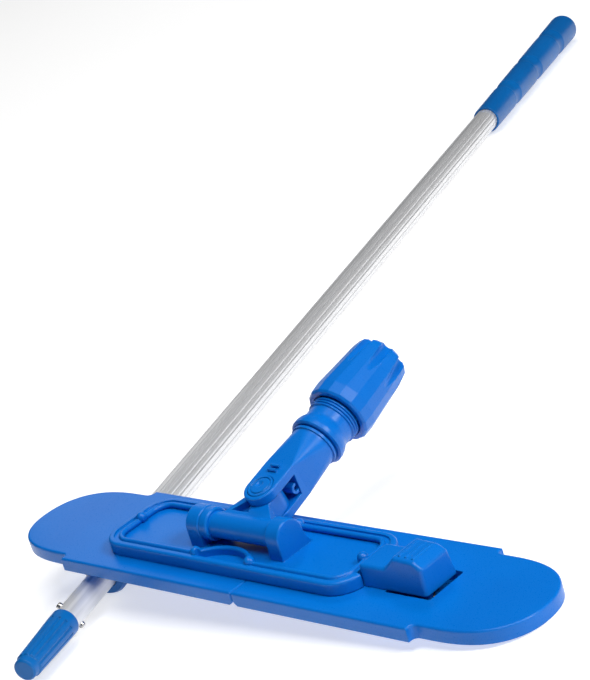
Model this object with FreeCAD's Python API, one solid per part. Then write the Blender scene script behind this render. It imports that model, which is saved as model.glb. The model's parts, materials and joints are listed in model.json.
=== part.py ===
import FreeCAD, Part
import math
import os

# Flat mop kit: a folding pocket-mop head resting on its loose telescopic handle.
# Millimetres. The head is modelled in its own frame: X along the plate, +Y to the rear, Z up from
# the sole, origin at the plate's centre. head_placement() then leans it on the handle, whose axis lies
# level above the floor z = 0. The whole kit is then centred on its footprint: the origin is the
# bottom centre of the kit's box.

# ---- plate and wings ----
PLATE_LENGTH = 400.0
PLATE_THICKNESS = 8.2
CENTRE_HALF_WIDTH = 41.5
LOBE_HALF_WIDTH = 36.4
SHOULDER_X = 138.8
SHOULDER_FILLET = 3.6
LOBE_POWER_X = 3.0
LOBE_POWER_Y = 2.2
SEAM_X = 8.5
SEAM_GAP = 0.3
SEAM_RELIEF = 0.9
WING_EDGE_RADIUS = 1.3
WING_SKIN = 2.6
RIB_THICKNESS = 2.0

# ---- hinge between the wings ----
HINGE_HEIGHT = 2.7
HINGE_PIN_RADIUS = 1.25
KNUCKLE_RADIUS = 2.5
KNUCKLE_COUNT = 5
KNUCKLE_SPAN = 70.0
RUNNING_CLEARANCE = 0.05
PART_CLEARANCE = 0.25

# ---- centre tray ----
TRAY_LEFT_X = -116.0
TRAY_RIGHT_X = 86.5
TRAY_END_X = 83.0
TRAY_HALF_WIDTH = 28.0
TRAY_CORNER_RADIUS = 17.0
TRAY_FLOOR = 5.0
TRAY_GROOVE = 7.0
TRAY_RIM = 8.0
TRAY_RIM_WIDTH = 3.6
TRAY_EDGE_RADIUS = 1.7
TRAY_LIFT_GAP = 0.4
BEAD_INSET = 6.8
BEAD_END_INSET = 8.6
BEAD_RADIUS = 1.7
BEAD_TOP = 8.5
NUB_RADIUS = 3.3
NUB_HEIGHT = 8.0
NUB_OFFSET = 22.0
SCOOP_RISE = 10.5
SCOOP_X = -14.0
SCOOP_DEPTH = 1.6
SCREW_RADIUS = 2.0
SCREW_HEAD_RADIUS = 3.6
SCREW_LENGTH = 11.0
SCREW_X = (-98.0, -62.0, -22.0)
SCREW_Y = 17.0

# ---- trunnion bearing on the tray ----
BARREL_Y = -2.0
BARREL_HEIGHT = 15.6
BARREL_RADIUS = 7.8
BARREL_LEFT_X = -33.2
BARREL_RIGHT_X = 14.9
EAR_INNER_LEFT_X = -39.4
EAR_INNER_RIGHT_X = 15.2
EAR_THICKNESS = 10.5
EAR_RADIUS = 10.3
AXLE_RADIUS = 3.0
AXLE_END = 7.0
BUSH_RADIUS = 4.6
FLANGE_RADIUS = 9.9

# ---- cross, fork and socket: upright frame, Z along the handle, origin on the barrel axis ----
ARM_ELEVATION = 16.0
ARM_X = -8.7
PIVOT_DISTANCE = 22.5
LUG_RADIUS = 9.4
LUG_HALF_THICKNESS = 6.3
FORK_SLOT_HALF = 6.5
FORK_HALF_WIDTH = 10.8
FORK_HALF_DEPTH = 12.0
FORK_MID_WIDTH = 10.9
FORK_MID_DEPTH = 11.6
FORK_CORNER = 0.9
FORK_CYLINDER_RADIUS = 14.0
FORK_BLEND_START = 19.0
FORK_BLEND_END = 44.0
FORK_TOP = 48.2
FORK_SLOT_TOP = 14.2
FORK_SLOT_PEAK = 16.6
SPIGOT_RADIUS = 11.5
SPIGOT_TOP = 60.0
PIVOT_RADIUS = 4.0
PIVOT_HEAD_RADIUS = 8.4
SOCKET_BORE_RADIUS = 9.3
SOCKET_BASE = 47.0
SOCKET_SKIRT_RADIUS = 17.0
SOCKET_NECK_RADIUS = 14.6
SOCKET_RINGS = (64.2, 66.2, 68.2)
SOCKET_TOP = 106.0
SOCKET_BORE_FLOOR = 62.0
THREAD_RADIUS = 13.3
COLLET_BASE = 107.0
COLLET_TOP = 119.0
NUT_BASE = 70.5
NUT_TOP = 121.2
NUT_BASE_RADIUS = 20.3
NUT_TOP_RADIUS = 17.0
NUT_LOBES = 8

# ---- foot pedal ----
PEDAL_LEFT_X = 83.6
PEDAL_RIGHT_X = 130.8
PEDAL_Y = 0.0
PEDAL_HALF_WIDTH = 13.2
PEDAL_LOW_TOP = 12.6
PEDAL_PAD_TOP = 19.8
PEDAL_SHOULDER = 18.9
PEDAL_END_TOP = 15.4
PEDAL_ROUNDING = 2.4
PEDAL_PAD_LENGTH = 20.5
PEDAL_RAMP_START = 28.0
PEDAL_PIVOT_X = 100.0
PEDAL_PIVOT_HEIGHT = 3.0
PEDAL_PIN_RADIUS = 1.5
PEDAL_BOSS_HALF = 6.4
PEDAL_WALL = 2.0
POCKET_LEFT_X = 101.6
POCKET_RIGHT_X = 133.6
POCKET_HALF_WIDTH = 14.6
POCKET_FLOOR = 1.4
SPRING_X = 121.4
SPRING_Y = -3.2
SPRING_RADIUS = 3.4
SPRING_WIRE = 0.45
SPRING_TURNS = 6
SPRING_HEIGHT = 18.6

# ---- telescopic handle: own frame, Z from the tip plug to the grip ----
HANDLE_LENGTH = 1145.0
TUBE_RADIUS = 10.0
TUBE_WALL = 1.1
FLUTES = 16
FLUTE_RADIUS = 1.3
INNER_RADIUS = 7.9
INNER_WALL = 1.0
PLUG_LENGTH = 51.5
PLUG_BAND = 8.0
PLUG_RADIUS = 9.0
PLUG_TIP_RADIUS = 7.9
COLLAR_START = 103.0
COLLAR_LENGTH = 38.0
COLLAR_RADIUS = 13.9
COLLAR_RIBS = 20
GRIP_LENGTH = 262.0
GRIP_RADIUS = 13.9
GRIP_START_RADIUS = 11.8
GRIP_WAISTS = (0.24, 0.50, 0.78)
GRIP_WAIST_LENGTH = 17.0
GRIP_WAIST_DEPTH = 1.7
INNER_TOP = 960.0
BUTTON_DISTANCE = 58.5
BUTTON_RADIUS = 2.1
BUTTON_STAND = 2.2

# ---- how the kit lies ----
HANDLE_AZIMUTH = 20.27
HANDLE_OFFSET = -130.7
HANDLE_TIP_Y = -78.3
AXIS_HEIGHT = 14.0
CONTACT_GAP = 0.3
BUTTON_ELEVATION = 57.0

V = FreeCAD.Vector
X_AXIS = V(1, 0, 0)
Y_AXIS = V(0, 1, 0)
Z_AXIS = V(0, 0, 1)


# ---------------------------------------------------------------- basic shapes

def box(x0, x1, y0, y1, z0, z1):
    """A box between two corners."""
    return Part.makeBox(x1 - x0, y1 - y0, z1 - z0, V(x0, y0, z0))


def rod(radius, start, end):
    """A round bar between two points."""
    along = end.sub(start)
    return Part.makeCylinder(radius, along.Length, start, along)


def extruded(points, along):
    """A prism from a closed outline of points."""
    return Part.Face(Part.makePolygon(points + [points[0]])).extrude(along)


def turned(profile, centre_x=0.0):
    """A solid of revolution about Z from (radius, height) points."""
    points = [V(centre_x + r, 0, z) for r, z in profile]
    face = Part.Face(Part.makePolygon(points + [points[0]]))
    return face.revolve(V(centre_x, 0, 0), Z_AXIS, 360)


def rounded_rectangle(x0, x1, y0, y1, radius, z):
    """A closed wire of four lines and four quarter arcs."""
    edges = []
    corners = [(x1 - radius, y1 - radius, 0), (x0 + radius, y1 - radius, 90),
               (x0 + radius, y0 + radius, 180), (x1 - radius, y0 + radius, 270)]
    last_end = None
    first_start = None
    for cx, cy, start in corners:
        points = [V(cx + radius * math.cos(math.radians(a)), cy + radius * math.sin(math.radians(a)), z)
                  for a in (start, start + 45, start + 90)]
        if last_end is not None:
            edges.append(Part.makeLine(last_end, points[0]))
        else:
            first_start = points[0]
        edges.append(Part.Arc(*points).toShape())
        last_end = points[2]
    edges.append(Part.makeLine(last_end, first_start))
    return Part.Wire(edges)


def slab(wire, height):
    """A plate raised from a closed wire."""
    return Part.Face(wire).extrude(V(0, 0, height))


def edges_where(shape, test):
    """The edges of a shape whose box passes a test."""
    return [e for e in shape.Edges if test(e.BoundBox)]


def cut_all(shape, tools):
    """Cuts a list of tools from a shape."""
    return shape.cut(Part.makeCompound(tools)) if tools else shape


def fused(shapes):
    """One clean solid from touching shapes."""
    whole = shapes[0].fuse(shapes[1:]) if len(shapes) > 1 else shapes[0]
    return whole.removeSplitter()


# ---------------------------------------------------------------- wings

def lobe_point(side, angle, z):
    """A point on the rounded end of the plate, a superellipse beyond the shoulder fillet."""
    start = SHOULDER_X + SHOULDER_FILLET
    reach = PLATE_LENGTH / 2 - start
    c, s = math.cos(angle), math.sin(angle)
    x = start + reach * abs(c) ** (2 / LOBE_POWER_X)
    y = math.copysign(LOBE_HALF_WIDTH * abs(s) ** (2 / LOBE_POWER_Y), s)
    return V(side * x, y, z)


def wing_wire(side, z):
    """The outline of one wing, from the seam to its rounded end."""
    seam = SEAM_X + side * SEAM_GAP / 2
    shoulder = side * SHOULDER_X
    half = CENTRE_HALF_WIDTH
    inner = LOBE_HALF_WIDTH + SHOULDER_FILLET
    slant = SHOULDER_FILLET * (1 - math.sqrt(0.5))
    steps = 20
    angles = [math.pi * (k / steps - 0.5) for k in range(steps + 1)]
    lobe = Part.BSplineCurve()
    lobe.interpolate([lobe_point(side, a, z) for a in angles])
    edges = []
    corner = {}
    for s in (-1, 1):
        corner[s] = V(shoulder, s * half, z)
        edges.append(Part.makeLine(V(seam, s * half, z), corner[s]))
        edges.append(Part.makeLine(corner[s], V(shoulder, s * inner, z)))
        middle = V(shoulder + side * slant, s * (LOBE_HALF_WIDTH + slant), z)
        fillet_end = V(side * (SHOULDER_X + SHOULDER_FILLET), s * LOBE_HALF_WIDTH, z)
        edges.append(Part.Arc(V(shoulder, s * inner, z), middle, fillet_end).toShape())
    edges.append(lobe.toShape())
    edges.append(Part.makeLine(V(seam, -half, z), V(seam, half, z)))
    return Part.Wire(Part.__sortEdges__(edges))


def knuckle_bands(side):
    """The Y bands of the hinge knuckles that belong to one wing."""
    pitch = KNUCKLE_SPAN / KNUCKLE_COUNT
    first = 0 if side < 0 else 1
    return [(-KNUCKLE_SPAN / 2 + k * pitch, -KNUCKLE_SPAN / 2 + (k + 1) * pitch)
            for k in range(first, KNUCKLE_COUNT, 2)]


def underside_pockets(side, keep_out):
    """Rectangular hollows under a wing, with ribs left between them."""
    tools = []
    columns = 5
    rows = 3
    seam_margin = 7.0
    edge_margin = 4.0
    start = SEAM_X + side * seam_margin
    end = side * (SHOULDER_X - edge_margin)
    pitch_x = (end - start) / columns
    pitch_y = 2 * (CENTRE_HALF_WIDTH - edge_margin) / rows
    for i in range(columns):
        for j in range(rows):
            x0, x1 = sorted((start + i * pitch_x, start + (i + 1) * pitch_x))
            y0 = -CENTRE_HALF_WIDTH + edge_margin + j * pitch_y
            hollow = box(x0 + RIB_THICKNESS / 2, x1 - RIB_THICKNESS / 2, y0 + RIB_THICKNESS / 2,
                         y0 + pitch_y - RIB_THICKNESS / 2, 0, PLATE_THICKNESS - WING_SKIN)
            if not any(hollow.common(k).Volume > 1 for k in keep_out):
                tools.append(hollow)
    return tools


def wing(side):
    """One wing: a filleted plate, its hinge knuckles, a V relief under the seam and ribs."""
    plate = slab(wing_wire(side, 0), PLATE_THICKNESS)
    rim = edges_where(plate, lambda b: b.ZMin > PLATE_THICKNESS - 0.1 and abs(b.Center.x - SEAM_X) > 1)
    plate = plate.makeFillet(WING_EDGE_RADIUS, rim)
    length = 2 * CENTRE_HALF_WIDTH
    low = V(SEAM_X, -CENTRE_HALF_WIDTH, HINGE_HEIGHT)
    groove = [low, V(SEAM_X + side * (HINGE_HEIGHT + 0.4), low.y, -0.1), V(SEAM_X, low.y, -0.1)]
    wide = SEAM_X + side * (SEAM_RELIEF + 1)
    top = [V(SEAM_X, low.y - 1, PLATE_THICKNESS + 1), V(wide, low.y - 1, PLATE_THICKNESS + 1),
           V(SEAM_X, low.y - 1, PLATE_THICKNESS - SEAM_RELIEF)]
    reliefs = [extruded(top, V(0, length + 2, 0))]
    for end in (-1, 1):
        edge = end * CENTRE_HALF_WIDTH
        corner = [V(SEAM_X, edge + end, -1), V(wide, edge + end, -1), V(SEAM_X, edge - end * SEAM_RELIEF, -1)]
        reliefs.append(extruded(corner, V(0, 0, PLATE_THICKNESS + 2)))
    plate = cut_all(plate, [extruded(groove, V(0, length, 0))] + reliefs)
    own = []
    other = []
    for y0, y1 in knuckle_bands(side):
        own.append(rod(KNUCKLE_RADIUS, V(SEAM_X, y0 + PART_CLEARANCE, HINGE_HEIGHT),
                       V(SEAM_X, y1 - PART_CLEARANCE, HINGE_HEIGHT)))
    for y0, y1 in knuckle_bands(-side):
        other.append(rod(KNUCKLE_RADIUS + PART_CLEARANCE, V(SEAM_X, y0, HINGE_HEIGHT),
                         V(SEAM_X, y1, HINGE_HEIGHT)))
    plate = cut_all(fused([plate] + own), other)
    pin_radius = HINGE_PIN_RADIUS if side < 0 else HINGE_PIN_RADIUS + RUNNING_CLEARANCE
    half_pin = KNUCKLE_SPAN / 2
    hole = rod(pin_radius, V(SEAM_X, -half_pin, HINGE_HEIGHT), V(SEAM_X, half_pin, HINGE_HEIGHT))
    return plate.cut(hole)


def left_wing():
    """The fixed wing, with countersunk screw holes from below."""
    tools = []
    guards = []
    for x, y in screw_places():
        tools.append(rod(SCREW_RADIUS, V(x, y, -1), V(x, y, PLATE_THICKNESS + 1)))
        tools.append(Part.makeCone(SCREW_HEAD_RADIUS, SCREW_RADIUS, 2.2, V(x, y, 0)))
        guards.append(rod(SCREW_HEAD_RADIUS + 1.5, V(x, y, 0), V(x, y, PLATE_THICKNESS)))
    hollows = [h.cut(Part.makeCompound(guards)) for h in underside_pockets(-1, [])]
    return cut_all(wing(-1), hollows + tools)


def right_wing():
    """The wing that folds down: a blind pocket under the pedal and two pivot lugs."""
    pocket = box(POCKET_LEFT_X, POCKET_RIGHT_X, PEDAL_Y - POCKET_HALF_WIDTH, PEDAL_Y + POCKET_HALF_WIDTH,
                 POCKET_FLOOR, PLATE_THICKNESS + 1)
    pocket = pocket.makeFillet(1.5, edges_where(pocket, lambda b: b.ZLength > 5))
    guard = box(PEDAL_PIVOT_X - 8, POCKET_RIGHT_X + 2.5, PEDAL_Y - POCKET_HALF_WIDTH - 2.5,
                PEDAL_Y + POCKET_HALF_WIDTH + 2.5, 0, PLATE_THICKNESS)
    plate = cut_all(wing(1), underside_pockets(1, [guard]) + [pocket])
    post = spring_seat()
    return fused([plate, post] + pedal_lugs())


def spring_seat():
    """A short post that centres the pedal spring in the pocket."""
    return rod(SPRING_RADIUS - SPRING_WIRE - 0.4, V(SPRING_X, SPRING_Y, POCKET_FLOOR - 0.5),
               V(SPRING_X, SPRING_Y, POCKET_FLOOR + 2.5))


def pedal_lugs():
    """Two rounded lugs on the right wing that carry the pedal pin."""
    height = PLATE_THICKNESS + PEDAL_PIVOT_HEIGHT
    radius = 3.2
    lugs = []
    for s in (-1, 1):
        y0 = PEDAL_Y + s * 8.2 - 1.2
        start = V(PEDAL_PIVOT_X, y0, height)
        lug = rod(radius, start, start.add(V(0, 2.4, 0)))
        foot = box(PEDAL_PIVOT_X - radius, PEDAL_PIVOT_X + 1.5, y0, y0 + 2.4, PLATE_THICKNESS - 1, height)
        lugs.append(lug.fuse(foot).cut(rod(PEDAL_PIN_RADIUS, start, start.add(V(0, 2.4, 0)))))
    return lugs


def hinge_pin():
    """The steel pin through the wing knuckles."""
    half = KNUCKLE_SPAN / 2 - 0.5
    return rod(HINGE_PIN_RADIUS, V(SEAM_X, -half, HINGE_HEIGHT), V(SEAM_X, half, HINGE_HEIGHT))


# ---------------------------------------------------------------- tray

def screw_places():
    """Plan positions of the screws that hold the tray to the left wing."""
    return [(x, s * SCREW_Y) for x in SCREW_X for s in (-1, 1)]


def tray_outline(inset, z):
    """The tray's rounded outline, moved inwards by an inset."""
    return rounded_rectangle(TRAY_LEFT_X + inset, TRAY_RIGHT_X - inset, -TRAY_HALF_WIDTH + inset,
                             TRAY_HALF_WIDTH - inset, TRAY_CORNER_RADIUS - inset, z)


def bead():
    """The rounded bead that runs around the tray floor."""
    height = PLATE_THICKNESS + BEAD_TOP - BEAD_RADIUS
    path = rounded_rectangle(TRAY_LEFT_X + BEAD_END_INSET, TRAY_RIGHT_X - BEAD_END_INSET,
                             -TRAY_HALF_WIDTH + BEAD_INSET, TRAY_HALF_WIDTH - BEAD_INSET,
                             TRAY_CORNER_RADIUS - BEAD_INSET, height)
    first = path.Edges[1]
    start = first.Vertexes[0].Point
    circle = Part.Wire(Part.makeCircle(BEAD_RADIUS, start, first.tangentAt(first.FirstParameter)))
    return path.makePipeShell([circle], True, False)


def scoop_arc(inset, z):
    """The arc between the two front nubs, moved inwards by an inset; its ends lie on the front bead line."""
    edge = -TRAY_HALF_WIDTH + BEAD_INSET
    return Part.Arc(V(SCOOP_X - NUB_OFFSET + inset, edge, z), V(SCOOP_X, edge + SCOOP_RISE - inset, z),
                    V(SCOOP_X + NUB_OFFSET - inset, edge, z)).toShape()


def scoop():
    """The shallow recess inside the arc, open to the front groove."""
    low = PLATE_THICKNESS + TRAY_FLOOR - SCOOP_DEPTH
    arc = scoop_arc(BEAD_RADIUS, low)
    front = -TRAY_HALF_WIDTH + TRAY_RIM_WIDTH
    left, right = arc.Vertexes[0].Point, arc.Vertexes[-1].Point
    corners = [right, V(right.x, front, low), V(left.x, front, low), left]
    outline = Part.Wire([arc] + [Part.makeLine(a, b) for a, b in zip(corners, corners[1:])])
    return Part.Face(outline).extrude(V(0, 0, BEAD_TOP))


def scoop_lip():
    """The bead's detour around the scoop."""
    arc = scoop_arc(0, PLATE_THICKNESS + BEAD_TOP - BEAD_RADIUS)
    start = arc.Vertexes[0].Point
    circle = Part.Wire(Part.makeCircle(BEAD_RADIUS, start, arc.tangentAt(arc.FirstParameter)))
    pipe = Part.Wire([arc]).makePipeShell([circle], True, False)
    outside = scoop_arc(-BEAD_RADIUS * 0.7, PLATE_THICKNESS)
    chord = Part.makeLine(outside.Vertexes[-1].Point, outside.Vertexes[0].Point)
    below = Part.Face(Part.Wire([outside, chord]))
    return pipe.fuse(below.extrude(V(0, 0, BEAD_TOP - BEAD_RADIUS)))


def nub_places():
    """Where the hemispherical nubs stand on the bead line."""
    edge = TRAY_HALF_WIDTH - BEAD_INSET
    left = TRAY_LEFT_X + BEAD_END_INSET
    right = TRAY_RIGHT_X - BEAD_END_INSET
    return [(left, 2.0), (SCOOP_X - NUB_OFFSET, -edge), (SCOOP_X + NUB_OFFSET, -edge), (right - 2.5, 1.0),
            (SCOOP_X + NUB_OFFSET, edge), (SCOOP_X - NUB_OFFSET, edge)]


def bearing_ear(x0):
    """A round-topped bearing ear that flares into the tray floor."""
    floor = PLATE_THICKNESS + TRAY_FLOOR - 0.5
    axis = PLATE_THICKNESS + BARREL_HEIGHT
    r = EAR_RADIUS
    flare = 6.0
    top = V(x0, BARREL_Y, axis + r)
    drop = axis - floor
    sweep = (flare ** 2 + drop ** 2) / (2 * flare)
    half_angle = math.asin(drop / sweep) / 2
    middle = V(x0, BARREL_Y + r + sweep * (1 - math.cos(half_angle)), axis - sweep * math.sin(half_angle))
    outline = Part.Wire([
        Part.makeLine(V(x0, BARREL_Y - r, floor), V(x0, BARREL_Y - r, axis)),
        Part.Arc(V(x0, BARREL_Y - r, axis), top, V(x0, BARREL_Y + r, axis)).toShape(),
        Part.Arc(V(x0, BARREL_Y + r, axis), middle, V(x0, BARREL_Y + r + flare, floor)).toShape(),
        Part.makeLine(V(x0, BARREL_Y + r + flare, floor), V(x0, BARREL_Y - r, floor))])
    ear = Part.Face(outline).extrude(V(EAR_THICKNESS, 0, 0))
    rounded = edges_where(ear, lambda b: b.XLength < 0.01 and b.ZMax > floor + 1)
    return ear.makeFillet(1.0, rounded)


def tray_shell():
    """The tray's rim and floor: a block with a shallow groove inside its rim and a lower floor."""
    deck = PLATE_THICKNESS
    body = slab(tray_outline(0, deck), TRAY_RIM)
    body = body.makeFillet(TRAY_EDGE_RADIUS, edges_where(body, lambda b: b.ZMin > deck + TRAY_RIM - 0.1))
    floor_wire = rounded_rectangle(TRAY_LEFT_X + BEAD_END_INSET, TRAY_RIGHT_X - BEAD_END_INSET,
                                   -TRAY_HALF_WIDTH + BEAD_INSET, TRAY_HALF_WIDTH - BEAD_INSET,
                                   TRAY_CORNER_RADIUS - BEAD_INSET, deck + TRAY_FLOOR)
    groove = slab(tray_outline(TRAY_RIM_WIDTH, deck + TRAY_GROOVE), TRAY_RIM)
    return body.cut([groove, slab(floor_wire, TRAY_RIM)])


def centre_tray():
    """The carrier on top of the wings: shell, bead, nubs, scoop and bearing ears."""
    deck = PLATE_THICKNESS
    nubs = [Part.makeSphere(NUB_RADIUS, V(x, y, deck + NUB_HEIGHT)) for x, y in nub_places()]
    ears = [bearing_ear(EAR_INNER_LEFT_X - EAR_THICKNESS), bearing_ear(EAR_INNER_RIGHT_X)]
    body = fused([tray_shell(), bead(), scoop_lip()] + nubs + ears)
    body = body.cut(scoop())
    axis = V(0, BARREL_Y, deck + BARREL_HEIGHT)
    axle_hole = rod(AXLE_RADIUS, axis.add(V(EAR_INNER_LEFT_X - AXLE_END, 0, 0)),
                    axis.add(V(EAR_INNER_RIGHT_X + AXLE_END, 0, 0)))
    fold_gap = box(SEAM_X, TRAY_RIGHT_X + 5, -60, 60, deck - 1, deck + TRAY_LIFT_GAP)
    notch_half = PEDAL_HALF_WIDTH + 0.4
    notch = box(TRAY_END_X, TRAY_RIGHT_X + 5, PEDAL_Y - notch_half, PEDAL_Y + notch_half, 0, 60)
    screws = [rod(SCREW_RADIUS, V(x, y, 0), V(x, y, SCREW_LENGTH)) for x, y in screw_places()]
    return cut_all(body, [axle_hole, fold_gap, notch] + screws + tray_hollows())


def tray_hollows():
    """Shallow hollows under the part of the tray that the right wing folds away from."""
    tools = []
    for k in range(3):
        x0 = SEAM_X + 6 + k * 23
        for y0 in (-20.0, 1.5):
            tools.append(box(x0, x0 + 20, y0, y0 + 18.5, PLATE_THICKNESS, PLATE_THICKNESS + TRAY_FLOOR - 2.6))
    return tools


def tray_screws():
    """Six countersunk screws, driven up from the sole."""
    screws = []
    for x, y in screw_places():
        shank = rod(SCREW_RADIUS, V(x, y, 0.4), V(x, y, SCREW_LENGTH))
        head = Part.makeCone(SCREW_HEAD_RADIUS - 0.3, SCREW_RADIUS, 1.8, V(x, y, 0.4))
        cross = [box(x - 2.0, x + 2.0, y - 0.4, y + 0.4, 0, 1.3),
                 box(x - 0.4, x + 0.4, y - 2.0, y + 2.0, 0, 1.3)]
        screws.append(cut_all(shank.fuse(head).removeSplitter(), cross))
    return Part.makeCompound(screws)


# ---------------------------------------------------------------- trunnion, cross and fork

def trunnion_axle():
    """The steel axle through both bearing ears."""
    axis = V(0, BARREL_Y, PLATE_THICKNESS + BARREL_HEIGHT)
    return rod(AXLE_RADIUS, axis.add(V(EAR_INNER_LEFT_X - AXLE_END, 0, 0)),
               axis.add(V(EAR_INNER_RIGHT_X + AXLE_END, 0, 0)))


def flanged_bush():
    """The bush between the left ear and the barrel, with a sleeve inside the barrel."""
    flange = rod(FLANGE_RADIUS, V(EAR_INNER_LEFT_X + 0.3, 0, 0), V(BARREL_LEFT_X, 0, 0))
    flange = flange.makeChamfer(0.8, edges_where(flange, lambda b: b.XMin > BARREL_LEFT_X - 0.1))
    sleeve = rod(BUSH_RADIUS, V(BARREL_LEFT_X - 1, 0, 0), V(BARREL_LEFT_X + 14, 0, 0))
    hole = rod(AXLE_RADIUS + RUNNING_CLEARANCE, V(EAR_INNER_LEFT_X, 0, 0), V(BARREL_LEFT_X + 15, 0, 0))
    return flange.fuse(sleeve).removeSplitter().cut(hole)


def trunnion_cross():
    """The barrel, its tapering pocketed web and the lug that the fork straddles."""
    barrel = rod(BARREL_RADIUS, V(BARREL_LEFT_X, 0, 0), V(BARREL_RIGHT_X, 0, 0))
    depth = 2 * LUG_HALF_THICKNESS
    web_left = BARREL_LEFT_X + 4.5
    plate = extruded([V(web_left, -LUG_HALF_THICKNESS, 4), V(BARREL_RIGHT_X - 4, -LUG_HALF_THICKNESS, 4),
                    V(ARM_X + LUG_RADIUS, -LUG_HALF_THICKNESS, PIVOT_DISTANCE - 8),
                    V(ARM_X + LUG_RADIUS, -LUG_HALF_THICKNESS, PIVOT_DISTANCE),
                    V(ARM_X - LUG_RADIUS, -LUG_HALF_THICKNESS, PIVOT_DISTANCE)], V(0, depth, 0))
    end = rod(LUG_RADIUS, V(ARM_X, -LUG_HALF_THICKNESS, PIVOT_DISTANCE),
              V(ARM_X, LUG_HALF_THICKNESS, PIVOT_DISTANCE))
    web = 1.6
    trough = extruded([V(web_left + 5, web, 7.0), V(ARM_X - 1.0, web, 7.0), V(ARM_X - 6.2, web, 17.5)],
                      V(0, LUG_HALF_THICKNESS, 0))
    troughs = [trough.cut(barrel), trough.mirror(V(0, 0, 0), Y_AXIS).cut(barrel)]
    whole = fused([barrel, plate, end])
    bush_hole = rod(BUSH_RADIUS, V(BARREL_LEFT_X - 1, 0, 0), V(BARREL_LEFT_X + 14, 0, 0))
    axle_hole = rod(AXLE_RADIUS + RUNNING_CLEARANCE, V(BARREL_LEFT_X, 0, 0), V(BARREL_RIGHT_X + 1, 0, 0))
    pivot_hole = rod(PIVOT_RADIUS + RUNNING_CLEARANCE, V(ARM_X, -20, PIVOT_DISTANCE),
                     V(ARM_X, 20, PIVOT_DISTANCE))
    return cut_all(whole, troughs + [bush_hole, axle_hole, pivot_hole])


def eight_sided_wire(half_x, half_y, radius, face_angle, z):
    """A closed wire of four side pieces and four corner arcs; radius 0 makes a rounded rectangle."""
    edges = []
    corner = FORK_CORNER
    for k in range(4):
        turn = 90.0 * k
        if radius:
            start, stop = turn - face_angle, turn + face_angle
            side = [polar(radius, a, z) for a in (start, turn, stop)]
            bend = [polar(radius, a, z) for a in (stop, turn + 45, turn + 90 - face_angle)]
            edges += [Part.Arc(*side).toShape(), Part.Arc(*bend).toShape()]
            continue
        a, b = (half_x, half_y) if k % 2 == 0 else (half_y, half_x)
        cut = corner * (1 - math.sqrt(0.5))
        side = [V(a, -b + corner, z), V(a, b - corner, z)]
        bend = [side[1], V(a - cut, b - cut, z), V(a - corner, b, z)]
        for piece in (Part.makeLine(*side), Part.Arc(*bend).toShape()):
            piece.rotate(V(0, 0, 0), Z_AXIS, turn)
            edges.append(piece)
    wire = Part.Wire(edges)
    return wire.translated(V(ARM_X, 0, 0))


def polar(radius, degrees, z):
    """A point at a radius and an angle about the Z axis."""
    t = math.radians(degrees)
    return V(radius * math.cos(t), radius * math.sin(t), z)


def fork_blend():
    """The faceted stretch: flat sides narrow to points while the corners open into the round neck."""
    low = eight_sided_wire(FORK_MID_WIDTH, FORK_MID_DEPTH, 0, 0, PIVOT_DISTANCE + FORK_BLEND_START)
    high = eight_sided_wire(0, 0, FORK_CYLINDER_RADIUS, 9.0, PIVOT_DISTANCE + FORK_BLEND_END)
    return Part.makeLoft([low, high], True, True)


def fork_ears():
    """The fork's two ears as one block: round ends about the pivot that widen evenly to the blend."""
    a, b = FORK_HALF_WIDTH, FORK_HALF_DEPTH
    z0 = PIVOT_DISTANCE
    ends = rod(a, V(ARM_X, -b, z0), V(ARM_X, b, z0))
    ends = ends.makeFillet(FORK_CORNER, ends.Faces[1].Edges + ends.Faces[2].Edges)
    low = eight_sided_wire(a, b, 0, 0, z0)
    high = eight_sided_wire(FORK_MID_WIDTH, FORK_MID_DEPTH, 0, 0, z0 + FORK_BLEND_START)
    return ends.fuse(Part.makeLoft([low, high], True, True))


def fork_slot():
    """The lug's slot, with a roof that rises from the lower ear to the upper one."""
    z0 = PIVOT_DISTANCE
    half = FORK_SLOT_HALF
    left = ARM_X - 30
    outline = [V(left, -half, z0 - 30), V(left, half, z0 - 30), V(left, half, z0 + FORK_SLOT_TOP),
               V(left, -half, z0 + FORK_SLOT_PEAK)]
    return extruded(outline, V(60, 0, 0))


def swivel_fork():
    """The fork: two round-ended ears, the faceted blend, a round neck and the socket spigot."""
    z0 = PIVOT_DISTANCE
    b = FORK_HALF_DEPTH
    neck = rod(FORK_CYLINDER_RADIUS, V(ARM_X, 0, z0 + FORK_BLEND_END), V(ARM_X, 0, z0 + FORK_TOP - 3))
    ring = turned([(0, z0 + FORK_TOP - 3), (FORK_CYLINDER_RADIUS + 0.9, z0 + FORK_TOP - 3),
                   (FORK_CYLINDER_RADIUS + 0.9, z0 + FORK_TOP - 1.2), (0, z0 + FORK_TOP - 1.2)], ARM_X)
    spigot = rod(SPIGOT_RADIUS, V(ARM_X, 0, z0 + FORK_TOP - 2), V(ARM_X, 0, z0 + SPIGOT_TOP))
    body = fused([fork_ears(), fork_blend(), neck, ring, spigot, finger_ribs()])
    pin_hole = rod(PIVOT_RADIUS, V(ARM_X, -20, z0), V(ARM_X, 20, z0))
    head_seat = rod(PIVOT_HEAD_RADIUS, V(ARM_X, -b - 1, z0), V(ARM_X, -b + 1.5, z0))
    cap_seat = rod(PIVOT_HEAD_RADIUS - 1.4, V(ARM_X, b - 1.5, z0), V(ARM_X, b + 1, z0))
    return cut_all(body, [fork_slot(), pin_hole, head_seat, cap_seat, detent_clip()])


def finger_ribs():
    """Two plain raised ribs on the fork's upper face, a generic finger mark."""
    z0 = PIVOT_DISTANCE
    ribs = []
    for z in (12.6, 16.0):
        start = V(ARM_X - 3.2, -FORK_HALF_DEPTH - 0.6, z0 + z)
        ribs.append(rod(0.9, start, start.add(V(6.4, 0, 0))))
    return Part.makeCompound(ribs)


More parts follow.
